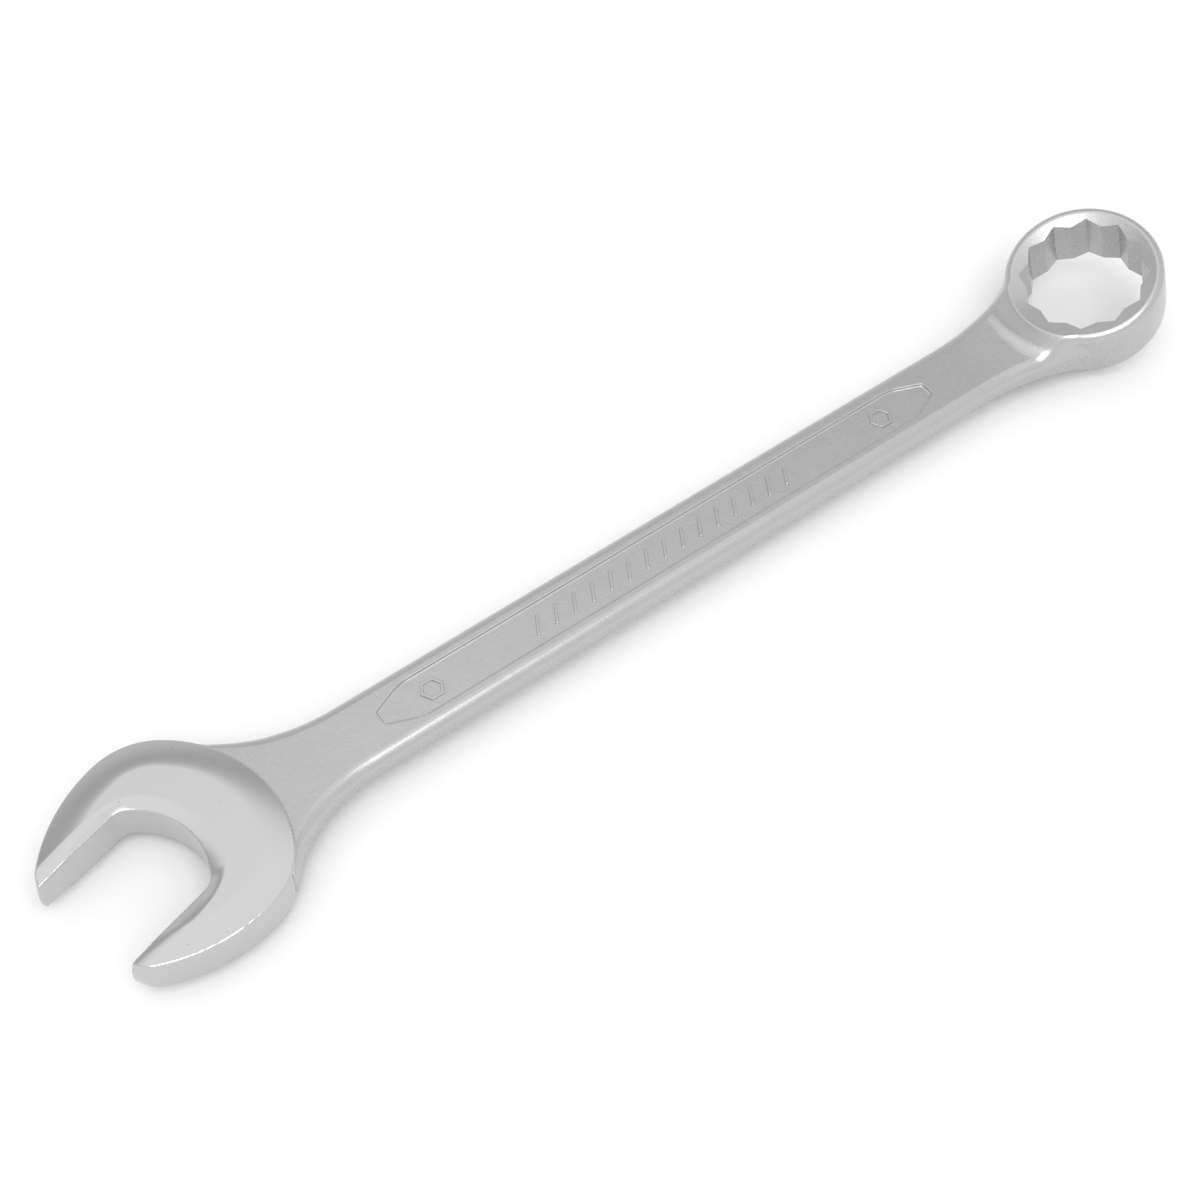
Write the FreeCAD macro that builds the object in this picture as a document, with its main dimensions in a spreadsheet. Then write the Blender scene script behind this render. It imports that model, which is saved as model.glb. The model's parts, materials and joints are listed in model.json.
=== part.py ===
"""Combination wrench, 32 mm: an open jaw at one end and a twelve-point ring at the other.

The tool is one drop forging. It is modelled as its named regions, which meet face to face.
Frame, in millimetres: +X runs along the shank from the open jaw to the ring, +Z points up
from the bench that the tool lies on, and the origin is on the bench under its middle.
"""
import FreeCAD, Part
import math
import os

import Sketcher
from FreeCAD import Placement, Rotation, Vector

Y_AXIS = Vector(0, 1, 0)
Z_AXIS = Vector(0, 0, 1)
ORIGIN = (-1, 1)

# Driving dimensions: alias, value in millimetres or degrees, meaning.
DIMENSIONS = [
    ("across_flats", 32.2, "wrench opening: 32 mm fastener plus 0.2 mm working clearance"),
    ("shank_level", 9.8, "height of the shank's middle plane above the bench"),
    ("shank_width", 22.0, "width of the straight shank"),
    ("shank_thickness", 8.0, "thickness of the straight shank"),
    ("shank_corner", 3.4, "radius along the shank's four long edges"),
    ("shank_start", -96.0, "end of the straight shank at the jaw neck"),
    ("shank_finish", 109.0, "end of the straight shank at the ring neck"),
    ("panel_start", -87.8, "tip of the recessed panel at the jaw end"),
    ("panel_finish", 97.5, "tip of the recessed panel at the ring end"),
    ("panel_width", 12.2, "width of the recessed panel"),
    ("panel_taper", 9.5, "length of each tapered end of the panel"),
    ("panel_tip", 4.4, "width of the blunt tip of the panel"),
    ("panel_depth", 0.7, "depth of the recessed panel"),
    ("mark_rise", 0.45, "height of the raised marks above the panel floor"),
    ("mark_line", 0.9, "line width of the raised marks"),
    ("hexagon_size", 3.6, "corner radius of the raised hexagon marks"),
    ("jaw_mark", -72.0, "place of the hexagon mark at the jaw end"),
    ("ring_mark", 80.0, "place of the hexagon mark at the ring end"),
    ("bar_count", 15, "number of slanted bars in the middle of the panel"),
    ("bar_pitch", 6.0, "distance from one slanted bar to the next"),
    ("bar_length", 6.6, "length of each slanted bar"),
    ("bar_slant", 60.0, "angle between a slanted bar and the shank"),
    ("bar_middle", 3.5, "place of the middle bar"),
    ("jaw_x", -165.0, "centre of the throat arc, along the tool"),
    ("jaw_y", -4.3, "centre of the throat arc, across the tool"),
    ("jaw_angle", 15.0, "angle between the jaw's opening and the shank"),
    ("throat_radius", 21.5, "radius of the arc at the bottom of the jaw"),
    ("throat_round", 1.5, "corner radius where a jaw flat meets the throat arc"),
    ("head_thickness", 13.0, "thickness of the head at the top of its crown"),
    ("head_wall", 11.2, "height of the head's side wall at its widest"),
    ("head_half_width", 31.3, "widest reach of the head from its own centre line"),
    ("head_widest", 19.6, "distance from the throat centre back to the widest place"),
    ("head_offset", 0.5, "how far the head's outline sits to one side of the jaw"),
    ("head_front_radius", 47.0, "outline radius from the widest place to the prong tips"),
    ("head_back_radius", 37.0, "outline radius across the back of the head"),
    ("head_back_reach", 44.3, "distance from the throat centre to the back of the head"),
    ("prong_reach", 13.9, "distance from the throat centre to the prong tips"),
    ("prong_round", 1.2, "radius of the outer corner of each prong tip"),
    ("neck_bury", 0.5, "how far inside an end's outline the flare of its neck finishes"),
    ("jaw_neck_depth", 38.0, "length of the jaw neck with the part the head takes away"),
    ("ring_neck_depth", 41.0, "length of the ring neck with the part the ring takes away"),
    ("jaw_neck_thickness", 11.4, "thickness of the jaw neck at the back of the head"),
    ("ring_x", 158.5, "centre of the ring along the tool"),
    ("ring_rise", 5.9, "height of the ring's centre above the shank's middle plane"),
    ("ring_tilt", 17.5, "angle between the ring and the shank"),
    ("ring_radius", 23.0, "outer radius of the ring"),
    ("ring_height", 19.2, "height of the ring along its own axis"),
    ("ring_round", 2.0, "radius along the ring's two rims"),
    ("socket_mouth", 20.7, "radius of the lead-in cone at each face of the ring"),
    ("socket_slope", 17.0, "slope of the lead-in cone below the ring's face"),
    ("socket_turn", 15.0, "angle from the shank to the nearest point of the socket"),
    ("ring_neck_thickness", 10.6, "thickness of the ring neck at the ring"),
]


def make_sheet(doc):
    """Put the driving dimensions in a spreadsheet, one aliased cell each."""
    sheet = doc.addObject("Spreadsheet::Sheet", "Sizes")
    for row, (alias, value, meaning) in enumerate(DIMENSIONS, start=1):
        sheet.set(f"A{row}", meaning)
        sheet.set(f"B{row}", str(value))
        sheet.setAlias(f"B{row}", alias)
    doc.recompute()
    return sheet


def value(item, expression):
    """Work out an expression over the sheet's aliases."""
    return float(item.evalExpression(expression))


def add(doc, kind, name, **expressions):
    """Add one document object and bind its properties to the sheet."""
    item = doc.addObject(kind, name)
    for key, expression in expressions.items():
        item.setExpression(key, expression)
    return item


def place(item, x="0", y="0", z="Sizes.shank_level", turn="0", axis=Z_AXIS):
    """Bind an object's placement: a turn about one axis, then a shift."""
    item.Placement = Placement(Vector(), Rotation(axis, 1))
    item.setExpression("Placement.Base.x", x)
    item.setExpression("Placement.Base.y", y)
    item.setExpression("Placement.Base.z", z)
    item.setExpression("Placement.Rotation.Angle", turn)
    return item


# ------------------------------------------------------------- sketches and outlines

def attached_sketch(body, name, role, offset="0"):
    """Sketch on one of its own body's origin planes, lifted along the plane's normal."""
    sketch = body.newObject("Sketcher::SketchObject", name)
    plane = next(item for item in body.Origin.OriginFeatures if item.Role == role)
    sketch.AttachmentSupport = [(plane, "")]
    sketch.MapMode = "FlatFace"
    sketch.setExpression("AttachmentOffset.Base.z", offset)
    return sketch


def bound_polygon(sketch, corners):
    """Closed polygon in a sketch, each corner's two coordinates bound to an expression."""
    points = [Vector(value(sketch, x), value(sketch, y), 0) for x, y in corners]
    count = len(points)
    for index in range(count):
        sketch.addGeometry(Part.LineSegment(points[index], points[(index + 1) % count]))
    for index in range(count):
        following = (index + 1) % count
        sketch.addConstraint(Sketcher.Constraint("Coincident", index, 2, following, 1))
    for index, corner in enumerate(corners):
        for kind, expression in zip(("DistanceX", "DistanceY"), corner):
            size = value(sketch, expression)
            constraint = Sketcher.Constraint(kind, *ORIGIN, index, 1, size)
            number = sketch.addConstraint(constraint)
            sketch.setExpression(f"Constraints[{number}]", expression)


def circle_sketch(sketch, radius):
    """Circle about the sketch's origin with its radius bound to an expression."""
    size = value(sketch, radius)
    sketch.addGeometry(Part.Circle(Vector(), Z_AXIS, size))
    sketch.addConstraint(Sketcher.Constraint("Coincident", 0, 3, *ORIGIN))
    number = sketch.addConstraint(Sketcher.Constraint("Radius", 0, size))
    sketch.setExpression(f"Constraints[{number}]", radius)


def pad(body, sketch, length):
    """Pad a sketch evenly to both sides of its plane."""
    feature = body.newObject("PartDesign::Pad", f"{body.Name}_pad")
    feature.Profile = sketch
    feature.Midplane = True
    feature.setExpression("Length", length)
    return feature


def round_edges(body, base, radius, wanted):
    """Fillet the edges of the last feature that a test picks out."""
    body.Document.recompute()
    names = [f"Edge{i}" for i, edge in enumerate(base.Shape.Edges, start=1) if wanted(edge)]
    feature = body.newObject("PartDesign::Fillet", f"{body.Name}_rounds")
    feature.Base = (base, names)
    feature.setExpression("Radius", radius)
    return feature


def arc_between(centre, start, end):
    """Edge of the shorter arc about a centre from one point to another, in the XY plane."""
    toward = (start - centre).normalize() + (end - centre).normalize()
    middle = centre + toward.normalize() * start.distanceToPoint(centre)
    return Part.Arc(start, middle, end).toShape()


def line(start, end):
    """Straight edge between two points."""
    return Part.LineSegment(start, end).toShape()


def prism(edges, direction, distance):
    """Solid swept evenly to both sides of the flat outline that the edges make."""
    face = Part.Face(Part.Wire(edges))
    face.translate(direction * (-distance / 2))
    return face.extrude(direction * distance)


def upright_edges(shape, places):
    """A prism's edges that stand on the given places of its outline."""
    found = []
    for edge in shape.Edges:
        foot = edge.Vertexes[0].Point
        same_place = any(math.dist((foot.x, foot.y), (p.x, p.y)) < 1e-3 for p in places)
        if same_place and abs(foot.z - edge.Vertexes[-1].Point.z) > 1e-3:
            found.append(edge)
    return found


# ------------------------------------------------------------- shank and its marks

def make_shank(doc):
    """Straight bar with round long edges and a tapered recessed panel on both faces."""
    body = place(doc.addObject("PartDesign::Body", "shank"))
    section = attached_sketch(body, "shank_section", "YZ_Plane",
                              "(Sizes.shank_start + Sizes.shank_finish) / 2")
    half_width = "Sizes.shank_width / 2"
    half_thick = "Sizes.shank_thickness / 2"
    bound_polygon(section, [
        ("-" + half_width, "-" + half_thick),
        (half_width, "-" + half_thick),
        (half_width, half_thick),
        ("-" + half_width, half_thick),
    ])
    bar = pad(body, section, "Sizes.shank_finish - Sizes.shank_start")
    round_edges(body, bar, "Sizes.shank_corner", lambda edge: edge.Length > 100)
    outline = attached_sketch(body, "panel_outline", "XY_Plane", half_thick)
    bound_polygon(outline, panel_corners())
    pocket = body.newObject("PartDesign::Pocket", "panel")
    pocket.Profile = outline
    pocket.setExpression("Length", "Sizes.panel_depth")
    both = body.newObject("PartDesign::Mirrored", "panel_both_faces")
    both.Originals = [pocket]
    plane = next(item for item in body.Origin.OriginFeatures if item.Role == "XY_Plane")
    both.MirrorPlane = (plane, [""])
    body.Tip = both
    return body


def panel_corners():
    """Corners of the recessed panel: a long strip tapered to blunt tips."""
    start, finish = "Sizes.panel_start", "Sizes.panel_finish"
    full, tip = "Sizes.panel_width / 2", "Sizes.panel_tip / 2"
    taper = "Sizes.panel_taper"
    lower = [(start, "-" + tip), (f"{start} + {taper}", "-" + full),
             (f"{finish} - {taper}", "-" + full), (finish, "-" + tip)]
    upper = [(x, y.lstrip("-")) for x, y in reversed(lower)]
    return lower + upper


PANEL_FLOOR = "Sizes.shank_level + Sizes.shank_thickness / 2 - Sizes.panel_depth"


def make_hexagon_mark(doc, name, x):
    """Raised hexagon outline on the panel floor, standing for the fastener."""
    solids = []
    for suffix, radius in (("outer", "Sizes.hexagon_size"),
                           ("inner", "Sizes.hexagon_size - Sizes.mark_line")):
        solid = add(doc, "Part::Prism", f"{name}_{suffix}",
                    Circumradius=radius, Height="Sizes.mark_rise")
        solid.Polygon = 6
        solids.append(place(solid, x=x, z=PANEL_FLOOR))
    mark = doc.addObject("Part::Cut", name)
    mark.Base, mark.Tool = solids
    return mark


def make_bar_marks(doc, sheet):
    """Row of slanted raised bars along the middle of the panel."""
    count = int(value(sheet, "Sizes.bar_count"))
    bars = []
    for index in range(count):
        bar = add(doc, "Part::Box", f"bar_{index + 1}", Length="Sizes.bar_length",
                  Width="Sizes.mark_line", Height="Sizes.mark_rise")
        steps = index - (count - 1) / 2
        middle = f"Sizes.bar_middle + {steps} * Sizes.bar_pitch"
        back = "Sizes.bar_length / 2 * cos(Sizes.bar_slant)"
        down = "Sizes.bar_length / 2 * sin(Sizes.bar_slant)"
        bars.append(place(bar, x=f"{middle} - {back}", y=f"-{down}", z=PANEL_FLOOR,
                          turn="Sizes.bar_slant"))
    marks = doc.addObject("Part::Compound", "slanted_bar_marks")
    marks.Links = bars
    return marks


# ------------------------------------------------------------- open end

def head_points(sheet):
    """Points of the head's outline on its far side, from the throat to the back."""
    half_gap = value(sheet, "Sizes.across_flats / 2")
    throat = value(sheet, "Sizes.throat_radius")
    widest = value(sheet, "Sizes.head_widest")
    half_width = value(sheet, "Sizes.head_half_width")
    front = value(sheet, "Sizes.head_front_radius")
    back = value(sheet, "Sizes.head_back_radius")
    tip = -value(sheet, "Sizes.prong_reach")
    back_middle = value(sheet, "Sizes.head_back_reach") - back
    drop = widest - back_middle
    corner = (back ** 2 - drop ** 2 - half_width ** 2) / (2 * (back - half_width))
    corner_middle = Vector(widest, half_width - corner, 0)
    outward = (corner_middle - Vector(back_middle, 0, 0)).normalize()
    front_middle = Vector(widest, half_width - front, 0)
    tip_height = front_middle.y + math.sqrt(front ** 2 - (tip - widest) ** 2)
    return {
        "gap": half_gap,
        "throat": throat,
        "flat_end": math.sqrt(throat ** 2 - half_gap ** 2),
        "tip": tip,
        "tip_outer": Vector(tip, tip_height, 0),
        "front_middle": front_middle,
        "widest": Vector(widest, half_width, 0),
        "corner_middle": corner_middle,
        "corner_radius": corner,
        "back_middle": Vector(back_middle, 0, 0),
        "back_radius": back,
        "back_join": Vector(back_middle, 0, 0) + outward * back,
    }


def mirrored(point):
    """The same point on the other side of the X axis."""
    return Vector(point.x, -point.y, point.z)


def head_outline(sheet, offset):
    """Edges of the head's outline with its jaw, in the jaw's own frame.

    The jaw is symmetrical about X. The outline around it is symmetrical about a line
    that lies a little to one side.
    """
    points = head_points(sheet)
    shift = Vector(0, -offset, 0)
    upper = {key: item + shift for key, item in points.items() if isinstance(item, Vector)}
    lower = {key: mirrored(item) + shift for key, item in points.items()
             if isinstance(item, Vector)}
    gap, tip, flat_end = points["gap"], points["tip"], points["flat_end"]
    upper_corner, lower_corner = Vector(flat_end, gap, 0), Vector(flat_end, -gap, 0)
    throat = Vector(points["throat"], 0, 0)
    edges = [
        line(Vector(tip, gap, 0), upper_corner),
        Part.Arc(upper_corner, throat, lower_corner).toShape(),
        line(lower_corner, Vector(tip, -gap, 0)),
        line(Vector(tip, -gap, 0), lower["tip_outer"]),
        arc_between(lower["front_middle"], lower["tip_outer"], lower["widest"]),
        arc_between(lower["corner_middle"], lower["widest"], lower["back_join"]),
        arc_between(upper["back_middle"], lower["back_join"], upper["back_join"]),
        arc_between(upper["corner_middle"], upper["back_join"], upper["widest"]),
        arc_between(upper["front_middle"], upper["widest"], upper["tip_outer"]),
        line(upper["tip_outer"], Vector(tip, gap, 0)),
    ]
    rounds = {
        "Sizes.throat_round": [upper_corner, lower_corner],
        "Sizes.prong_round": [upper["tip_outer"], lower["tip_outer"]],
    }
    return edges, rounds


def make_head_plate(doc, sheet):
    """Flat plate with the head's outline, its jaw and its rounded corners."""
    edges, rounds = head_outline(sheet, value(sheet, "Sizes.head_offset"))
    shape = prism(edges, Z_AXIS, value(sheet, "Sizes.head_thickness"))
    for radius, places in rounds.items():
        shape = shape.makeFillet(value(sheet, radius), upright_edges(shape, places))
    plate = doc.addObject("Part::Feature", "head_plate")
    plate.Shape = shape
    return place(plate, x="Sizes.jaw_x", y="Sizes.jaw_y", turn="Sizes.jaw_angle")


CROWN = "Sizes.head_half_width ^ 2 / (Sizes.head_thickness - Sizes.head_wall)"


def make_head(doc, plate):
    """Head with crowned faces: the plate cut down by a large sphere from each side."""
    middle = "(Sizes.head_back_reach - Sizes.prong_reach) / 2"
    crown_x = f"Sizes.jaw_x + {middle} * cos(Sizes.jaw_angle)"
    crown_y = f"Sizes.jaw_y + {middle} * sin(Sizes.jaw_angle)"
    spheres = []
    for name, sign in (("top_crown", "+"), ("bottom_crown", "-")):
        sphere = add(doc, "Part::Sphere", name, Radius=CROWN)
        height = f"Sizes.shank_level {sign} (Sizes.head_thickness / 2 - ({CROWN}))"
        spheres.append(place(sphere, x=crown_x, y=crown_y, z=height))
    head = doc.addObject("Part::MultiCommon", "open_end_head")
    head.Shapes = [plate] + spheres
    return head


# ------------------------------------------------------------- necks

def flare(side, half_width, start, centre, radius):
    """Concave arc from the shank's side to the outline of an end, tangent to both.

    side is +1 or -1. The end's outline near the neck is a circle about centre.
    """
    reach = centre.x - start
    rise = half_width - side * centre.y
    size = (reach ** 2 + rise ** 2 - radius ** 2) / (2 * (radius - rise))
    middle = Vector(start, side * (half_width + size), 0)
    foot = Vector(start, side * half_width, 0)
    meeting = middle + (centre - middle).normalize() * size
    return arc_between(middle, foot, meeting), foot, meeting


def neck_solid(sheet, start, ends, thick, depth):
    """Flared neck: plan outline and side outline in one solid, long edges rounded.

    ends holds the circle that each side of the plan outline runs into. depth is how far
    along X the neck runs, and thick is its thickness there.
    """
    half_width = value(sheet, "Sizes.shank_width / 2")
    half_thick = value(sheet, "Sizes.shank_thickness / 2")
    bury = value(sheet, "Sizes.neck_bury")
    (upper_middle, upper_radius), (lower_middle, lower_radius) = ends
    upper, upper_foot, upper_end = flare(1, half_width, start, upper_middle, upper_radius - bury)
    lower, lower_foot, lower_end = flare(-1, half_width, start, lower_middle, lower_radius - bury)
    inner = Vector(start + depth, 0, 0)
    plan = prism([upper, line(upper_end, Vector(inner.x, upper_end.y, 0)),
                  line(Vector(inner.x, upper_end.y, 0), Vector(inner.x, lower_end.y, 0)),
                  line(Vector(inner.x, lower_end.y, 0), lower_end), lower,
                  line(lower_foot, upper_foot)], Z_AXIS, 3 * thick)
    side = prism(side_outline(start, depth, half_thick, thick / 2), Y_AXIS, 100)
    solid = plan.common(side)
    longest = [edge for edge in solid.Edges if is_long_edge(edge, start)]
    solid = solid.makeFillet(value(sheet, "Sizes.shank_corner"), longest)
    return solid


def side_outline(start, depth, near_half, far_half):
    """Side view of a neck: both faces curve gently outward from the shank."""
    rise = far_half - near_half
    radius = (depth ** 2 + rise ** 2) / (2 * rise)
    edges = []
    for sign in (1, -1):
        middle = Vector(start, 0, sign * (near_half + radius))
        foot = Vector(start, 0, sign * near_half)
        end = Vector(start + depth, 0, sign * far_half)
        edges.append((arc_between(middle, foot, end), foot, end))
    (top, top_foot, top_end), (bottom, bottom_foot, bottom_end) = edges
    return [top, line(top_end, bottom_end), bottom, line(bottom_foot, top_foot)]


def is_long_edge(edge, start):
    """Tell the four long curved edges of a neck, which start at the shank's corners."""
    ends = [vertex.Point for vertex in edge.Vertexes]
    touches = [abs(point.x - start) < 1e-3 for point in ends]
    return any(touches) and not all(touches)


def make_jaw_neck(doc, sheet, plate):
    """Neck that flares from the shank into the back of the head."""
    points = head_points(sheet)
    turn = Rotation(Z_AXIS, value(sheet, "Sizes.jaw_angle"))
    jaw = Vector(value(sheet, "Sizes.jaw_x"), value(sheet, "Sizes.jaw_y"), 0)
    shift = Vector(0, -value(sheet, "Sizes.head_offset"), 0)
    back = jaw + turn.multVec(points["back_middle"] + shift)
    corner = jaw + turn.multVec(mirrored(points["corner_middle"]) + shift)
    ends = [(back, points["back_radius"]), (corner, points["corner_radius"])]
    start = value(sheet, "Sizes.shank_start")
    thick = value(sheet, "Sizes.jaw_neck_thickness")
    blank = doc.addObject("Part::Feature", "jaw_neck_blank")
    blank.Shape = neck_solid(sheet, start, ends, thick, -value(sheet, "Sizes.jaw_neck_depth"))
    place(blank)
    neck = doc.addObject("Part::Cut", "open_end_neck")
    neck.Base, neck.Tool = blank, plate
    return neck


def make_ring_neck(doc, sheet, ring_blank):
    """Neck that flares from the shank into the wall of the ring."""
    centre = Vector(value(sheet, "Sizes.ring_x"), 0, 0)
    end = (centre, value(sheet, "Sizes.ring_radius"))
    start = value(sheet, "Sizes.shank_finish")
    thick = value(sheet, "Sizes.ring_neck_thickness")
    blank = doc.addObject("Part::Feature", "ring_neck_blank")
    depth = value(sheet, "Sizes.ring_neck_depth")
    blank.Shape = neck_solid(sheet, start, [end, end], thick, depth)
    place(blank)
    neck = doc.addObject("Part::Cut", "ring_neck")
    neck.Base, neck.Tool = blank, ring_blank
    return neck


# ------------------------------------------------------------- ring end

def tilted(item):
    """Place an object at the ring's centre, with the ring's far side raised."""
    return place(item, x="Sizes.ring_x", z="Sizes.shank_level + Sizes.ring_rise",
                 turn="Sizes.ring_tilt", axis=-Y_AXIS)


def make_ring_blank(doc):
    """Solid disc with round rims: the ring before its socket is cut."""
    body = tilted(doc.addObject("PartDesign::Body", "ring_blank"))
    sketch = attached_sketch(body, "ring_outline", "XY_Plane")
    circle_sketch(sketch, "Sizes.ring_radius")
    disc = pad(body, sketch, "Sizes.ring_height")
    body.Tip = round_edges(body, disc, "Sizes.ring_round", lambda edge: len(edge.Vertexes) == 1)
    return body


def make_ring(doc, blank):
    """Ring with a twelve-point socket: two hexagons a twelfth of a turn apart."""
    tools = []
    through = "Sizes.ring_height * 1.5"
    for name, turn in (("hexagon_one", "Sizes.socket_turn"),
                       ("hexagon_two", "Sizes.socket_turn + 30")):
        hexagon = add(doc, "Part::Prism", name, Height=through,
                      Circumradius="Sizes.across_flats / sqrt(3)")
        hexagon.Polygon = 6
        tools.append(place(hexagon, z=f"-({through}) / 2", turn=turn))
    tools.append(make_lead_in(doc, "lead_in_top", "Sizes.ring_height / 2", "0"))
    tools.append(make_lead_in(doc, "lead_in_bottom", "-Sizes.ring_height / 2", "180"))
    socket = tilted(doc.addObject("Part::MultiFuse", "socket"))
    socket.Shapes = tools
    ring = doc.addObject("Part::Cut", "ring_end")
    ring.Base, ring.Tool = blank, socket
    return ring


def make_lead_in(doc, name, face, flip):
    """Cone that leads a fastener into the socket, point down into one face."""
    depth = "Sizes.socket_mouth * tan(Sizes.socket_slope)"
    cone = add(doc, "Part::Cone", name, Height=depth, Radius2="Sizes.socket_mouth")
    cone.Radius1 = 0
    sign = "-" if flip == "0" else "+"
    return place(cone, z=f"{face} {sign} {depth}", turn=flip, axis=Vector(1, 0, 0))


# ------------------------------------------------------------- document

def make_wrench(doc):
    """Build the document and list the regions that make the wrench."""
    sheet = make_sheet(doc)
    plate = make_head_plate(doc, sheet)
    ring_blank = make_ring_blank(doc)
    regions = [
        make_head(doc, plate),
        make_jaw_neck(doc, sheet, plate),
        make_shank(doc),
        make_hexagon_mark(doc, "jaw_size_mark", "Sizes.jaw_mark"),
        make_bar_marks(doc, sheet),
        make_hexagon_mark(doc, "ring_size_mark", "Sizes.ring_mark"),
        make_ring_neck(doc, sheet, ring_blank),
        make_ring(doc, ring_blank),
    ]
    for region in regions:
        region.Label = region.Name
    doc.recompute()
    return regions


def check(doc, regions):
    """Stop if any object failed to compute or any region has no sound shape."""
    for item in doc.Objects:
        bad = {"Invalid", "Error"} & set(item.State)
        if bad:
            raise RuntimeError(f"{item.Name} is {bad}")
    for region in regions:
        if region.Shape.isNull() or not region.Shape.isValid():
            raise RuntimeError(f"{region.Label} has no sound shape")


def main():
    """Build the wrench and write one STEP file for each region."""
    doc = FreeCAD.newDocument("combination_wrench")
    regions = make_wrench(doc)
    check(doc, regions)
    os.makedirs("parts", exist_ok=True)
    for region in regions:
        region.Shape.exportStep(f"parts/{region.Label}.step")
        box = region.Shape.BoundBox
        print(f"{region.Label}: {region.Shape.Volume:.0f} mm3,"
              f" x {box.XMin:.2f} to {box.XMax:.2f},"
              f" y {box.YMin:.2f} to {box.YMax:.2f}, z {box.ZMin:.2f} to {box.ZMax:.2f}")


main()
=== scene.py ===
import json
import math

import bpy
import numpy as np
from mathutils import Matrix, Vector


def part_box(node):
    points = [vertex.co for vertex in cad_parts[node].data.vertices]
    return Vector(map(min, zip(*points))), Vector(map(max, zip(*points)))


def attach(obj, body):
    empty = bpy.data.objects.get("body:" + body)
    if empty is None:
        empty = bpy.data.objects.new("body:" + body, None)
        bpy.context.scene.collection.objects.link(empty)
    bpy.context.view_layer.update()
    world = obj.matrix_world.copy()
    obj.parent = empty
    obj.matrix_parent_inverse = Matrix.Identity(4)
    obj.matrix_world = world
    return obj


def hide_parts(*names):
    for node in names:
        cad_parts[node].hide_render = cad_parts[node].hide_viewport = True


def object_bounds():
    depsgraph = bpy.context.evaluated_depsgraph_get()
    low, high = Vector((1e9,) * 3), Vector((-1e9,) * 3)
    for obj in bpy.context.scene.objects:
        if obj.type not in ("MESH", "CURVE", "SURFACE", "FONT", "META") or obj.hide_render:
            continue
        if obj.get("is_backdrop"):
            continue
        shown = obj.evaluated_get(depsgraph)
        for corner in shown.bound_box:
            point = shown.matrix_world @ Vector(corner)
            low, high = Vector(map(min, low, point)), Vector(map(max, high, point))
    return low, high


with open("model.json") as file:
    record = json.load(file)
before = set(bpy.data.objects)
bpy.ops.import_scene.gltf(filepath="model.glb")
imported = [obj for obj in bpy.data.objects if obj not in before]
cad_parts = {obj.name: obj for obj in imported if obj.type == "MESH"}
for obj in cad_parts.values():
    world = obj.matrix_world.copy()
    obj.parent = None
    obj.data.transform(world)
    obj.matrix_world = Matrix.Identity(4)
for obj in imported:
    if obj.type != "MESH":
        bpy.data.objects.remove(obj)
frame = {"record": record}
cad_low, cad_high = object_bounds()
record = frame["record"]
mounts = {mount["name"]: mount for mount in record["mounts"]}

# The shapes below are signed distances in millimetres: negative inside the steel, positive
# outside. Each piece's field is a function of three arrays of coordinates in the CAD frame.
MM = 1000.0  # millimetres in a metre


# ---------------------------------------------------------------- sizes from the frame

def in_mm(point):
    """A position from the frame, in millimetres."""
    return np.array(point, float) * MM


shank_low, shank_high = (in_mm(corner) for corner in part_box("shank"))
LEVEL = (shank_low[2] + shank_high[2]) / 2
HALF_WIDTH = (shank_high[1] - shank_low[1]) / 2
HALF_THICK = (shank_high[2] - shank_low[2]) / 2
SHANK_START, SHANK_FINISH = shank_low[0], shank_high[0]

far_flat = in_mm(mounts["jaw_far_flat"]["pos_m"])
near_flat = in_mm(mounts["jaw_near_flat"]["pos_m"])
JAW = (far_flat + near_flat) / 2
HALF_GAP = np.linalg.norm(far_flat - near_flat) / 2
JAW_ACROSS = (far_flat - near_flat)[:2] / (2 * HALF_GAP)
JAW_BACK = np.array([JAW_ACROSS[1], -JAW_ACROSS[0]])

RING = in_mm(mounts["ring_socket"]["pos_m"])
RING_AXIS = np.array(mounts["ring_socket"]["axis"], float)
RING_ALONG = np.array([RING_AXIS[2], 0, -RING_AXIS[0]])

# Shape of the head, in the jaw's own frame. Its faces drop towards the outline and, less,
# towards the jaw. The walls and the prongs' ends stand out most at half height.
THROAT_RADIUS, THROAT_ROUND = 21.5, 1.5
HEAD_HALF_WIDTH, HEAD_WIDEST, HEAD_OFFSET = 31.2, 19.6, 0.5
HEAD_FRONT_RADIUS, HEAD_BACK_RADIUS, HEAD_BACK_REACH = 47.0, 37.0, 44.2
PRONG_REACH, PRONG_BULGE, PRONG_ROUND, PRONG_EDGE = 13.8, 2.2, 2.4, 0.4
FACE_HALF, ROLL_RISE, ROLL_BAND = 6.5, 1.0, 8.5
SLOT_RISE, SLOT_BAND = 0.75, 4.2
ROLL_POWER, ROLL_LIMIT = 1.5, 1.3
WALL_BULGE, FACE_EDGE = 0.35, 0.28

# Shape of the necks and the shank. The long edges are rounder on the shank than next to the
# head, over a span of X. The fillet at the head shrinks from the near side to the far side,
# over a span of Y.
LONG_EDGE_SPAN, LONG_EDGES = (-136.0, -116.0), (1.2, 3.4)
HEAD_FILLET_SPAN, HEAD_FILLETS = (-14.0, 10.0), (2.8, 1.5)
JAW_NECK_HALF, RING_NECK_HALF = 5.1, 5.2
JAW_NECK_RUN, RING_NECK_RUN = 34.0, 30.0
NECK_RUN_LIMIT = 1.2
PANEL_START, PANEL_FINISH = -87.8, 97.5
PANEL_HALF, PANEL_TIP, PANEL_TAPER, PANEL_DEPTH = 6.1, 2.2, 9.5, 0.7
PANEL_CORNER, PANEL_POINT, PANEL_COVE, PANEL_EDGE = 1.0, 0.8, 0.45, 0.3

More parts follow.
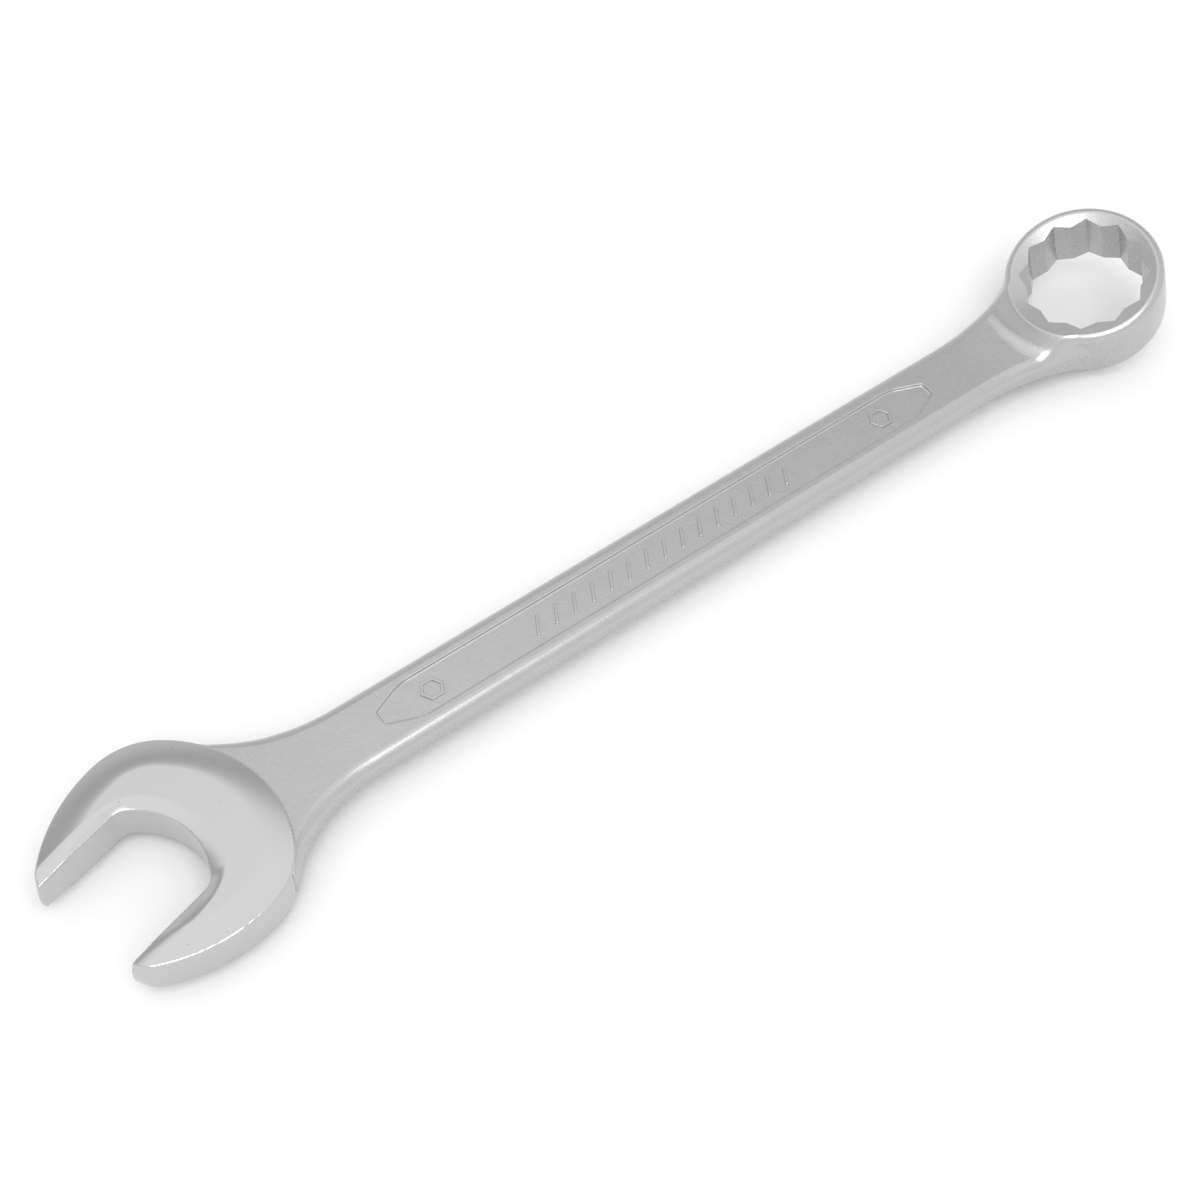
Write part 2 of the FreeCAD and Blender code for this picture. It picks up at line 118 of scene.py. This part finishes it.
# Shape of the ring, about its own axis, and of its join to the neck. The join's fillet grows
# from the underside to the top, within a rise of the middle, and fades towards both sides.
RING_RADIUS, RING_HALF, RING_ROUND, RING_BARREL = 22.9, 9.55, 2.1, 0.25
SOCKET_TURN = 15.0
MOUTH_RADIUS, MOUTH_SLOPE = 20.6, 17.0
SOCKET_EDGE = 0.15
NECK_FILLET, LOW_FILLET, FILLET_RISE = 8.0, 4.5, 4
FADE_END, FADE_RUN, FADE_LEAST = 19.0, 7.0, 0.02

# Where the pieces meet.
BURY = 0.35  # how far inside the ring and the head the necks' sides are aimed
OVERLAP = 0.6  # how far the jaw's neck runs on inside the head
HEAD_FILLET_INSET = 0.05  # how much deeper than that the fillet at the head starts
RING_INSET = 0.6  # how much smaller the ring is taken where the neck's sides are aimed at it
RING_CUT = 131.5  # X at which the ring's piece takes over from the neck's


# ---------------------------------------------------------------- distance helpers

def round_max(a, b, radius):
    """Intersection of two shapes with a round edge."""
    inner = np.minimum(np.maximum(a, b), -radius)
    return inner + np.hypot(np.maximum(a + radius, 0), np.maximum(b + radius, 0))


def round_min(a, b, radius):
    """Union of two shapes with a fillet in the corner between them."""
    return -round_max(-a, -b, radius)


def circle(u, v, middle, radius):
    """Distance to a circle in a plane."""
    return np.hypot(u - middle[0], v - middle[1]) - radius


# ---------------------------------------------------------------- head

def head_arcs():
    """Centres and radii of the head's outline, from its driving sizes."""
    back = np.array([HEAD_BACK_REACH - HEAD_BACK_RADIUS, 0.0])
    drop = HEAD_WIDEST - back[0]
    spare = HEAD_BACK_RADIUS ** 2 - drop ** 2 - HEAD_HALF_WIDTH ** 2
    corner_radius = spare / (2 * (HEAD_BACK_RADIUS - HEAD_HALF_WIDTH))
    corner = np.array([HEAD_WIDEST, HEAD_HALF_WIDTH - corner_radius])
    front = np.array([HEAD_WIDEST, HEAD_HALF_WIDTH - HEAD_FRONT_RADIUS])
    return back, corner, corner_radius, front


BACK, CORNER, CORNER_RADIUS, FRONT = head_arcs()


def jaw_frame(x, y):
    """Coordinates along the jaw, away from its mouth, and across it."""
    dx, dy = x - JAW[0], y - JAW[1]
    along = dx * JAW_BACK[0] + dy * JAW_BACK[1]
    across = dx * JAW_ACROSS[0] + dy * JAW_ACROSS[1]
    return along, across


def outline(u, v):
    """Plan distance to the head's outline: three tangent arcs on each side."""
    w = np.abs(v + HEAD_OFFSET)
    lean = CORNER - BACK
    beyond = lean[0] * (w - BACK[1]) - lean[1] * (u - BACK[0])
    behind = np.where(beyond > 0, circle(u, w, CORNER, CORNER_RADIUS),
                      circle(u, w, BACK, HEAD_BACK_RADIUS))
    return np.where(u < HEAD_WIDEST, circle(u, w, FRONT, HEAD_FRONT_RADIUS), behind)


def slot(u, v):
    """Plan distance to the open space of the jaw: two flats and a round throat."""
    flats = np.abs(v) - HALF_GAP
    throat = np.where(u > 0, np.hypot(u, v) - THROAT_RADIUS, -THROAT_RADIUS)
    return round_max(flats, throat, THROAT_ROUND)


def rolled(inset, rise, band):
    """How far the face has dropped at a distance in from its edge."""
    return rise * np.clip(1 - inset / band, 0, ROLL_LIMIT) ** ROLL_POWER


def head(x, y, z):
    """Head with crowned faces that roll over towards every edge."""
    u, v = jaw_frame(x, y)
    height = np.abs(z - LEVEL)
    outside = outline(u, v)
    gap = slot(u, v)
    bulged = outside + WALL_BULGE * (height / FACE_HALF) ** 2
    reach = PRONG_REACH - PRONG_BULGE * (height / FACE_HALF) ** 2
    walls = round_max(bulged, -reach - u, PRONG_ROUND)
    plan = round_max(walls, -gap, PRONG_EDGE)
    roll = rolled(-outside, ROLL_RISE, ROLL_BAND) + rolled(gap, SLOT_RISE, SLOT_BAND)
    face = FACE_HALF - roll
    return round_max(plan, height - face, FACE_EDGE)


# ---------------------------------------------------------------- shank and necks

def flare(side, start, middle, radius):
    """A neck's concave side, tangent to the shank and just inside a circle: its centre,
    its radius and the point where it meets the circle."""
    radius = radius - BURY
    reach = middle[0] - start
    rise = HALF_WIDTH - side * middle[1]
    size = (reach ** 2 + rise ** 2 - radius ** 2) / (2 * (radius - rise))
    centre = np.array([start, side * (HALF_WIDTH + size)])
    toward = middle - centre
    meeting = centre + toward / np.linalg.norm(toward) * size
    return centre, size, meeting


def in_row(point):
    """A point of the head's outline, from the jaw's frame to the CAD frame, in plan."""
    return JAW[:2] + JAW_BACK * point[0] + JAW_ACROSS * (point[1] - HEAD_OFFSET)


FAR_JAW = flare(1, SHANK_START, in_row(BACK), HEAD_BACK_RADIUS)
NEAR_JAW = flare(-1, SHANK_START, in_row(CORNER * [1, -1]), CORNER_RADIUS)
RING_FOOT = np.array([RING[0] + (RING[2] - LEVEL) * -RING_AXIS[0] / RING_AXIS[2], 0.0])
FAR_RING = flare(1, SHANK_FINISH, RING_FOOT, RING_RADIUS - RING_INSET)
NEAR_RING = flare(-1, SHANK_FINISH, RING_FOOT, RING_RADIUS - RING_INSET)


def flank(x, y, side, jaw_flare, ring_flare):
    """Plan distance to one long side of the shank and its two necks."""
    plain = side * y - HALF_WIDTH
    jaw_centre, jaw_size, _ = jaw_flare
    ring_centre, ring_size, _ = ring_flare
    at_jaw = jaw_size - np.hypot(x - jaw_centre[0], y - jaw_centre[1])
    at_ring = ring_size - np.hypot(x - ring_centre[0], y - ring_centre[1])
    distance = np.where(x < jaw_centre[0], at_jaw, plain)
    return np.where(x > ring_centre[0], at_ring, distance)


def beyond_chord(x, y, first, second):
    """Distance to the left of the line from one point to another, in plan."""
    along = (second - first) / np.linalg.norm(second - first)
    return (y - first[1]) * along[0] - (x - first[0]) * along[1]


def half_thickness(x):
    """Half the thickness along the bar: even in the shank, growing in the necks."""
    jaw_run = np.clip((SHANK_START - x) / JAW_NECK_RUN, 0, NECK_RUN_LIMIT)
    ring_run = np.clip((x - SHANK_FINISH) / RING_NECK_RUN, 0, NECK_RUN_LIMIT)
    jaw_growth = (JAW_NECK_HALF - HALF_THICK) * jaw_run ** 2
    ring_growth = (RING_NECK_HALF - HALF_THICK) * ring_run ** 2
    return HALF_THICK + jaw_growth + ring_growth


def panel(x, y, height):
    """Distance to the hollow of the recessed panel on either face."""
    middle = (PANEL_START + PANEL_FINISH) / 2
    along = np.abs(x - middle) - (PANEL_FINISH - PANEL_START) / 2
    across = np.abs(y) - PANEL_HALF
    slope = np.array([PANEL_HALF - PANEL_TIP, PANEL_TAPER])
    slope = slope / np.linalg.norm(slope)
    taper = (along + PANEL_TAPER) * slope[0] + across * slope[1]
    edge = round_max(round_max(across, taper, PANEL_CORNER), along, PANEL_POINT)
    return round_max(edge, HALF_THICK - PANEL_DEPTH - height, PANEL_COVE)


def bar(x, y, z):
    """Shank and both necks, with round long edges and the recessed panels."""
    height = np.abs(z - LEVEL)
    sides = np.maximum(flank(x, y, 1, FAR_JAW, FAR_RING),
                       flank(x, y, -1, NEAR_JAW, NEAR_RING))
    sides = np.maximum(sides, beyond_chord(x, y, NEAR_JAW[2], FAR_JAW[2]))
    fillet = np.interp(y, HEAD_FILLET_SPAN, HEAD_FILLETS)
    inside_head = outline(*jaw_frame(x, y)) + OVERLAP + HEAD_FILLET_INSET
    sides = round_min(sides, inside_head, fillet)
    edge = np.interp(x, LONG_EDGE_SPAN, LONG_EDGES)
    body = round_max(sides, height - half_thickness(x), edge)
    body = np.maximum(body, beyond_chord(x, y, FAR_RING[2], NEAR_RING[2]))
    return round_max(body, -panel(x, y, height), PANEL_EDGE)


# ---------------------------------------------------------------- ring

def ring_frame(x, y, z):
    """Coordinates in the ring's own frame: along, across and up its axis."""
    dx, dy, dz = x - RING[0], y - RING[1], z - RING[2]
    along = dx * RING_ALONG[0] + dy * RING_ALONG[1] + dz * RING_ALONG[2]
    up = dx * RING_AXIS[0] + dy * RING_AXIS[1] + dz * RING_AXIS[2]
    return along, dy, up


def ring_blank(x, y, z):
    """Ring without its socket: a disc with round rims and a slightly barrelled wall."""
    u, v, up = ring_frame(x, y, z)
    wall = np.hypot(u, v) - RING_RADIUS + RING_BARREL * (up / RING_HALF) ** 2
    return round_max(wall, np.abs(up) - RING_HALF, RING_ROUND)


def socket(x, y, z):
    """Open space of the socket: two hexagons and a lead-in cone at each face."""
    u, v, up = ring_frame(x, y, z)
    star = np.full(u.shape, np.inf)
    for start in (SOCKET_TURN, SOCKET_TURN + 30):
        hexagon = np.full(u.shape, -np.inf)
        for side in range(3):
            angle = math.radians(start + 30 + 60 * side)
            flat = np.abs(u * math.cos(angle) + v * math.sin(angle)) - HALF_GAP
            hexagon = np.maximum(hexagon, flat)
        star = np.minimum(star, hexagon)
    slope = math.radians(MOUTH_SLOPE)
    depth = RING_HALF - np.abs(up) - (MOUTH_RADIUS - np.hypot(u, v)) * math.tan(slope)
    return np.minimum(star, depth * math.cos(slope))


def forging(x, y, z):
    """Everything behind the head: both necks, the shank and the ring."""
    levels = (LEVEL - FILLET_RISE, LEVEL + FILLET_RISE)
    radius = np.interp(z, levels, (LOW_FILLET, NECK_FILLET))
    radius = radius * np.clip((FADE_END - np.abs(y)) / FADE_RUN, FADE_LEAST, 1)
    joined = round_min(bar(x, y, z), ring_blank(x, y, z), radius)
    return round_max(joined, -socket(x, y, z), SOCKET_EDGE)


# ---------------------------------------------------------------- marks on the panel

PANEL_FLOOR = LEVEL + HALF_THICK - PANEL_DEPTH
MARK_RISE, MARK_ROOT, MARK_LINE, MARK_ROUND = 0.45, 0.1, 0.9, 0.2
HEXAGON_SIZE = 3.6
BAR_LENGTH, BAR_PITCH, BAR_SLANT, BAR_MIDDLE, BAR_COUNT = 6.6, 6.0, 60.0, 3.5, 15
BAR_CORNER = 0.3


def raised(plan, z):
    """A raised mark with a soft top edge, rooted just below the panel's floor."""
    return np.maximum(round_max(plan, z - PANEL_FLOOR - MARK_RISE, MARK_ROUND),
                      PANEL_FLOOR - MARK_ROOT - z)


def hexagon_mark(middle):
    """A field: the raised outline of a hexagon about a place on the middle line."""
    def field(x, y, z):
        size = np.full(x.shape, -np.inf)
        for side in range(3):
            angle = math.radians(30 + 60 * side)
            flat = np.abs((x - middle) * math.cos(angle) + y * math.sin(angle))
            size = np.maximum(size, flat)
        reach = HEXAGON_SIZE * math.cos(math.radians(30))
        line = np.abs(size - reach + MARK_LINE / 2) - MARK_LINE / 2
        return raised(line, z)
    return field


def bar_marks(x, y, z):
    """A row of equal slanted bars."""
    slant = math.radians(BAR_SLANT)
    first = BAR_MIDDLE - BAR_PITCH * (BAR_COUNT - 1) / 2
    number = np.clip(np.round((x - first) / BAR_PITCH), 0, BAR_COUNT - 1)
    local = x - first - number * BAR_PITCH
    along = np.abs(local * math.cos(slant) + y * math.sin(slant)) - BAR_LENGTH / 2
    across = np.abs(local * math.sin(slant) - y * math.cos(slant)) - MARK_LINE / 2
    return raised(round_max(along, across, BAR_CORNER), z)


# ---------------------------------------------------------------- regions of the forging

def jaw_neck(x, y, z):
    """From the shank to just inside the head."""
    u, v = jaw_frame(x, y)
    own = np.maximum(x - SHANK_START, -outline(u, v) - OVERLAP)
    return np.maximum(bar(x, y, z), own)


def shank(x, y, z):
    """The straight part."""
    return np.maximum(bar(x, y, z), np.maximum(SHANK_START - x, x - SHANK_FINISH))


def ring_neck(x, y, z):
    """From the shank to the plane where the ring's piece takes over."""
    return np.maximum(forging(x, y, z), np.maximum(SHANK_FINISH - x, x - RING_CUT))


def ring(x, y, z):
    """The ring, with the fillet that carries it."""
    return np.maximum(forging(x, y, z), RING_CUT - x)


# ---------------------------------------------------------------- surface of a distance

REACH = 0.02  # distance over which a slope is measured
REFINEMENTS = 4  # steps taken to find where a grid edge crosses the surface
FLAT_SHARE = 0.02  # directions weaker than this share of the strongest are left alone
GRID_LEAD, GRID_TAIL = 1.37, 1.5  # cells added around a grid; the odd lead avoids flat faces
TOWARD_MIDDLE = 0.35  # where a corner's normal is taken, as a share of the way to the middle
TINY_NORMAL, TINY_GAP = 1e-9, 1e-12  # guards against a division by zero


def slopes(field, points):
    """Outward unit normals of a field at points."""
    normals = np.empty_like(points)
    for axis in range(3):
        step = np.zeros(3)
        step[axis] = REACH
        normals[:, axis] = field(*(points + step).T) - field(*(points - step).T)
    lengths = np.linalg.norm(normals, axis=1, keepdims=True)
    return normals / np.maximum(lengths, TINY_NORMAL)


def crossings(field, values, origin, step, axis):
    """Grid edges along an axis that pass through the surface, and where they do."""
    low = [slice(None)] * 3
    high = [slice(None)] * 3
    low[axis], high[axis] = slice(None, -1), slice(1, None)
    before, after = values[tuple(low)], values[tuple(high)]
    edges = np.argwhere((before < 0) != (after < 0))
    a, b = before[tuple(edges.T)], after[tuple(edges.T)]
    start, stop = np.zeros(len(edges)), np.ones(len(edges))
    points = origin + edges * step
    for _ in range(REFINEMENTS):
        share = start + (stop - start) * a / (a - b)
        found = points.copy()
        found[:, axis] += share * step[axis]
        value = field(*found.T)
        same = (value < 0) == (a < 0)
        start, a = np.where(same, share, start), np.where(same, value, a)
        stop, b = np.where(same, stop, share), np.where(same, b, value)
        b = np.where(a == b, b + TINY_GAP, b)
    leaving = before[tuple(edges.T)] < 0
    return edges, found, leaving


def cells_around(edges, axis, shape):
    """The four grid cells around each edge, counter-clockwise about the axis."""
    first, second = (axis + 1) % 3, (axis + 2) % 3
    around = []
    for back in ((0, 0), (1, 0), (1, 1), (0, 1)):
        cell = edges.copy()
        cell[:, first] -= back[0]
        cell[:, second] -= back[1]
        around.append(np.ravel_multi_index(cell.T, shape))
    return np.stack(around, axis=1)


def best_points(cell_of, points, normals, low, step):
    """One point per cell, as near as can be to all the tangent planes that cross it."""
    count = np.bincount(cell_of)
    total = [np.bincount(cell_of, points[:, k]) for k in range(3)]
    middle = np.stack(total, axis=1) / count[:, None]
    offset = np.einsum("ij,ij->i", normals, points - middle[cell_of])
    square = np.empty((len(count), 3, 3))
    pull = np.empty((len(count), 3))
    for i in range(3):
        pull[:, i] = np.bincount(cell_of, normals[:, i] * offset)
        for j in range(3):
            square[:, i, j] = np.bincount(cell_of, normals[:, i] * normals[:, j])
    sizes, turns = np.linalg.eigh(square)
    kept = sizes > FLAT_SHARE * sizes[:, -1:]
    inverse = np.where(kept, 1 / np.where(kept, sizes, 1), 0)
    along = np.einsum("nji,nj->ni", turns, pull) * inverse
    return np.clip(middle + np.einsum("nij,nj->ni", turns, along), low, low + step)


def contour(field, low, high, step):
    """Closed quads on a field's surface, with crisp edges where it has them."""
    step = np.array(step, float)
    origin = np.array(low, float) - GRID_LEAD * step
    shape = np.ceil((np.array(high) + GRID_TAIL * step - origin) / step).astype(int) + 1
    axes = [origin[k] + step[k] * np.arange(shape[k]) for k in range(3)]
    values = field(*np.meshgrid(*axes, indexing="ij"))
    around, points, leaving = [], [], []
    for axis in range(3):
        edges, found, out = crossings(field, values, origin, step, axis)
        around.append(cells_around(edges, axis, tuple(shape)))
        points.append(found)
        leaving.append(out)
    around, points, leaving = map(np.concatenate, (around, points, leaving))
    normals = slopes(field, points)
    cells, quads = np.unique(around, return_inverse=True)
    quads = quads.reshape(around.shape)
    corner = origin + np.stack(np.unravel_index(cells, tuple(shape)), axis=1) * step
    vertices = best_points(quads.ravel(), np.repeat(points, 4, axis=0),
                           np.repeat(normals, 4, axis=0), corner, step)
    quads = np.where(leaving[:, None], quads, quads[:, ::-1])
    return vertices, quads


def build(name, field, region, step, material, nodes):
    """Makes one piece in place of its CAD nodes, from a field's surface inside a box."""
    low, high = region
    vertices, quads = contour(field, low, high, step)
    middles = vertices[quads].mean(axis=1)
    corners = vertices[quads]
    toward = corners + TOWARD_MIDDLE * (middles[:, None] - corners)
    normals = slopes(field, toward.reshape(-1, 3))
    mesh = bpy.data.meshes.new(name)
    mesh.from_pydata((vertices / MM).tolist(), [], quads.tolist())
    mesh.polygons.foreach_set("use_smooth", [True] * len(quads))
    mesh.normals_split_custom_set(normals.tolist())
    mesh.materials.append(material)
    piece = bpy.data.objects.new(name, mesh)
    bpy.context.scene.collection.objects.link(piece)
    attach(piece, "root")
    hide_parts(*nodes)


def grown(node, margin):
    """A CAD node's box in millimetres, with a margin."""
    low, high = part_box(node)
    return in_mm(low) - margin, in_mm(high) + margin


# ---------------------------------------------------------------- materials

SATIN_DARK, SATIN_LIGHT = (0.485, 0.485, 0.488), (0.525, 0.525, 0.528)
SATIN_ROUGHNESS = (0.22, 0.34)
POLISHED_BASE, PIT_BASE = (0.55, 0.55, 0.553), (0.3, 0.3, 0.3)
POLISHED_ROUGHNESS = (0.13, 0.19)
HAIR_STRETCH = (1.0, 26.0, 1.0, 0.0, 0.0, 0.45)


class Nodes:
    """Small helper to lay out a material's nodes."""

    def __init__(self, name):
        self.material = bpy.data.materials.new(name)
        self.material.use_nodes = True
        self.tree = self.material.node_tree
        self.shader = self.tree.nodes["Principled BSDF"]
        self.place = self.add("ShaderNodeTexCoord").outputs["Object"]

    def add(self, kind, **values):
        node = self.tree.nodes.new(kind)
        for key, value in values.items():
            setattr(node, key, value)
        return node

    def link(self, source, target):
        self.tree.links.new(source, target)

    def noise(self, scale, detail, stretch=None):
        node = self.add("ShaderNodeTexNoise")
        node.inputs["Scale"].default_value = scale
        node.inputs["Detail"].default_value = detail
        self.link(self.stretched(stretch), node.inputs["Vector"])
        return node.outputs["Fac"]

    def stretched(self, stretch):
        """Coordinates scaled by the first three numbers and turned by the last three."""
        if stretch is None:
            return self.place
        node = self.add("ShaderNodeMapping")
        node.inputs["Scale"].default_value = stretch[:3]
        node.inputs["Rotation"].default_value = stretch[3:]
        self.link(self.place, node.inputs["Vector"])
        return node.outputs["Vector"]

    def spots(self, scale, size):
        """1 in small round spots, one in each Voronoi cell, else 0."""
        node = self.add("ShaderNodeTexVoronoi")
        node.inputs["Scale"].default_value = scale
        self.link(self.place, node.inputs["Vector"])
        return self.spread(node.outputs["Distance"], (size, size * 0.5), (0.0, 1.0))

    def spread(self, source, before, after):
        """A value moved from one range to another."""
        node = self.add("ShaderNodeMapRange")
        for name, value in zip(("From Min", "From Max", "To Min", "To Max"), before + after):
            node.inputs[name].default_value = value
        self.link(source, node.inputs["Value"])
        return node.outputs["Result"]

    def grey(self, source, dark, light):
        """A colour between two, by a value from 0 to 1."""
        node = self.add("ShaderNodeMix", data_type="RGBA")
        self.link(source, node.inputs["Factor"])
        node.inputs["A"].default_value = (*dark, 1)
        node.inputs["B"].default_value = (*light, 1)
        return node.outputs["Result"]

    def bump(self, height, distance, strength, below=None):
        node = self.add("ShaderNodeBump")
        node.inputs["Distance"].default_value = distance
        node.inputs["Strength"].default_value = strength
        self.link(height, node.inputs["Height"])
        if below is not None:
            self.link(below, node.inputs["Normal"])
        return node.outputs["Normal"]


def satin_plate():
    """Pearl-blasted, satin chromium plate."""
    n = Nodes("satin_plate")
    n.shader.inputs["Metallic"].default_value = 1.0
    grain = n.noise(scale=2700, detail=2)
    cloud = n.noise(scale=160, detail=3)
    n.link(n.grey(cloud, SATIN_DARK, SATIN_LIGHT), n.shader.inputs["Base Color"])
    n.link(n.spread(grain, (0.3, 0.7), SATIN_ROUGHNESS), n.shader.inputs["Roughness"])
    soft = n.bump(n.noise(scale=420, detail=2), distance=0.00005, strength=0.6)
    rough = n.bump(grain, distance=0.00003, strength=0.5, below=soft)
    n.link(rough, n.shader.inputs["Normal"])
    return n.material


def polished_faces():
    """Polished chromium plate with hair scratches and a few tiny pits."""
    n = Nodes("polished_faces")
    n.shader.inputs["Metallic"].default_value = 1.0
    hairs = n.noise(scale=900, detail=4, stretch=HAIR_STRETCH)
    pits = n.spots(scale=230, size=0.05)
    n.link(n.grey(pits, POLISHED_BASE, PIT_BASE), n.shader.inputs["Base Color"])
    n.link(n.spread(hairs, (0.35, 0.75), POLISHED_ROUGHNESS), n.shader.inputs["Roughness"])
    fine = n.bump(hairs, distance=0.000004, strength=0.5)
    wave = n.bump(n.noise(scale=120, detail=1), distance=0.00002, strength=0.3, below=fine)
    n.link(wave, n.shader.inputs["Normal"])
    return n.material


SATIN = satin_plate()
POLISHED = polished_faces()

# The grid's step along X, Y and Z, in mm, and how far the grid goes beyond the CAD node's box,
# which has to hold the whole surface of the piece.
HEAD_STEP, HEAD_MARGIN = (0.36, 0.36, 0.36), 1.0
NECK_STEP, JAW_NECK_MARGIN, RING_NECK_MARGIN = (0.4, 0.33, 0.33), 9.0, 5.0
SHANK_STEP, SHANK_MARGIN = (0.7, 0.25, 0.25), 0.5
RING_STEP, RING_MARGIN = (0.33, 0.33, 0.33), 6.0
MARK_STEP, MARK_MARGIN = (0.14, 0.14, 0.14), 0.3

build("open_end_head_visual", head, grown("open_end_head", HEAD_MARGIN), HEAD_STEP,
      POLISHED, ["open_end_head"])
build("open_end_neck_visual", jaw_neck, grown("open_end_neck", JAW_NECK_MARGIN), NECK_STEP,
      SATIN, ["open_end_neck"])
build("shank_visual", shank, grown("shank", SHANK_MARGIN), SHANK_STEP,
      SATIN, ["shank"])
build("ring_neck_visual", ring_neck, grown("ring_neck", RING_NECK_MARGIN), NECK_STEP,
      SATIN, ["ring_neck"])
build("ring_end_visual", ring, grown("ring_end", RING_MARGIN), RING_STEP,
      SATIN, ["ring_end"])
for mark in ("jaw_size_mark", "ring_size_mark"):
    low, high = grown(mark, MARK_MARGIN)
    build(mark + "_visual", hexagon_mark((low[0] + high[0]) / 2), (low, high), MARK_STEP,
          SATIN, [mark])
build("slanted_bar_marks_visual", bar_marks, grown("slanted_bar_marks", MARK_MARGIN),
      MARK_STEP, SATIN, ["slanted_bar_marks"])


# ---------------------------------------------------------------- camera, floor and light

CAMERA_LENS, CAMERA_SENSOR, CAMERA_NEAREST = 65.48, 36.0, 0.01
CAMERA_PLACE = (-0.21731, -0.27255, 0.48640)
CAMERA_RIGHT, CAMERA_BACK = (0.8045, -0.5940, -0.0035), (-0.3398, -0.4650, 0.8175)
FLOOR_SIZE, FLOOR_GAP = 40, 0.0002
FLOOR_BASE, FLOOR_ROUGHNESS = (0.82, 0.82, 0.82, 1), 0.9
FLOOR_GLOW, FLOOR_GLOW_STRENGTH = (1, 1, 1, 1), 0.06

# Brightness of the room's far side against height, from the horizon to straight up, the
# brightness of its near side, and the span of Y over which one changes into the other.
FAR_LEVELS = ((0.0, 0.85), (0.64, 0.85), (0.70, 0.55), (0.76, 0.6), (0.82, 1.15), (1.0, 1.25))
NEAR_LEVEL = (1.0, 1.0, 1.0, 1)
SIDE_START, SIDE_FINISH = -0.15, 0.25
SOFTBOX_PLACE, SOFTBOX_SIZE, SOFTBOX_POWER = (-0.35, -0.75, 1.9), 1.4, 15.0


def make_camera():
    """Looks down on the wrench from the near side, over the jaw end."""
    data = bpy.data.cameras.new("camera")
    data.lens = CAMERA_LENS
    data.sensor_width = CAMERA_SENSOR
    data.clip_start = CAMERA_NEAREST
    data.dof.use_dof = False
    camera = bpy.data.objects.new("camera", data)
    right = Vector(CAMERA_RIGHT).normalized()
    back = Vector(CAMERA_BACK)
    back = (back - right * back.dot(right)).normalized()
    up = back.cross(right)
    place = Matrix((right, up, back)).transposed().to_4x4()
    place.translation = CAMERA_PLACE
    camera.matrix_world = place
    bpy.context.scene.collection.objects.link(camera)
    bpy.context.scene.camera = camera


def make_floor():
    """Plain white floor just under the wrench."""
    level = cad_low[2] - FLOOR_GAP
    bpy.ops.mesh.primitive_plane_add(size=FLOOR_SIZE, location=(0, 0, level))
    floor = bpy.context.object
    floor.name = "floor"
    material = bpy.data.materials.new("floor_white")
    material.use_nodes = True
    shader = material.node_tree.nodes["Principled BSDF"]
    shader.inputs["Base Color"].default_value = FLOOR_BASE
    shader.inputs["Roughness"].default_value = FLOOR_ROUGHNESS
    shader.inputs["Emission Color"].default_value = FLOOR_GLOW
    shader.inputs["Emission Strength"].default_value = FLOOR_GLOW_STRENGTH
    floor.data.materials.append(material)
    floor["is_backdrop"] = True


def make_world():
    """Soft studio room: bright all round, with a darker band half-way up the far side."""
    world = bpy.data.worlds.new("studio")
    world.use_nodes = True
    tree = world.node_tree
    place = tree.nodes.new("ShaderNodeTexCoord")
    split = tree.nodes.new("ShaderNodeSeparateXYZ")
    tree.links.new(place.outputs["Generated"], split.inputs["Vector"])
    far = tree.nodes.new("ShaderNodeValToRGB")
    ramp = far.color_ramp
    while len(ramp.elements) < len(FAR_LEVELS):
        ramp.elements.new(0.5)
    for element, (height, level) in zip(ramp.elements, FAR_LEVELS):
        element.position = height
        element.color = (level, level, level, 1)
    tree.links.new(split.outputs["Z"], far.inputs["Fac"])
    side = tree.nodes.new("ShaderNodeMapRange")
    side.inputs["From Min"].default_value = SIDE_START
    side.inputs["From Max"].default_value = SIDE_FINISH
    tree.links.new(split.outputs["Y"], side.inputs["Value"])
    mix = tree.nodes.new("ShaderNodeMix")
    mix.data_type = "RGBA"
    tree.links.new(side.outputs["Result"], mix.inputs["Factor"])
    mix.inputs["A"].default_value = NEAR_LEVEL
    tree.links.new(far.outputs["Color"], mix.inputs["B"])
    background = tree.nodes["Background"]
    tree.links.new(mix.outputs["Result"], background.inputs["Color"])
    background.inputs["Strength"].default_value = 1.0
    bpy.context.scene.world = world


def make_light(name, place, size, power):
    """Square soft box that faces the wrench."""
    data = bpy.data.lights.new(name, "AREA")
    data.size = size
    data.energy = power
    light = bpy.data.objects.new(name, data)
    light.location = place
    light.rotation_euler = Vector(place).to_track_quat("Z", "Y").to_euler()
    bpy.context.scene.collection.objects.link(light)


bpy.context.scene.view_settings.view_transform = "Standard"
make_camera()
make_floor()
make_world()
make_light("front_softbox", SOFTBOX_PLACE, SOFTBOX_SIZE, SOFTBOX_POWER)

low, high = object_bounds()
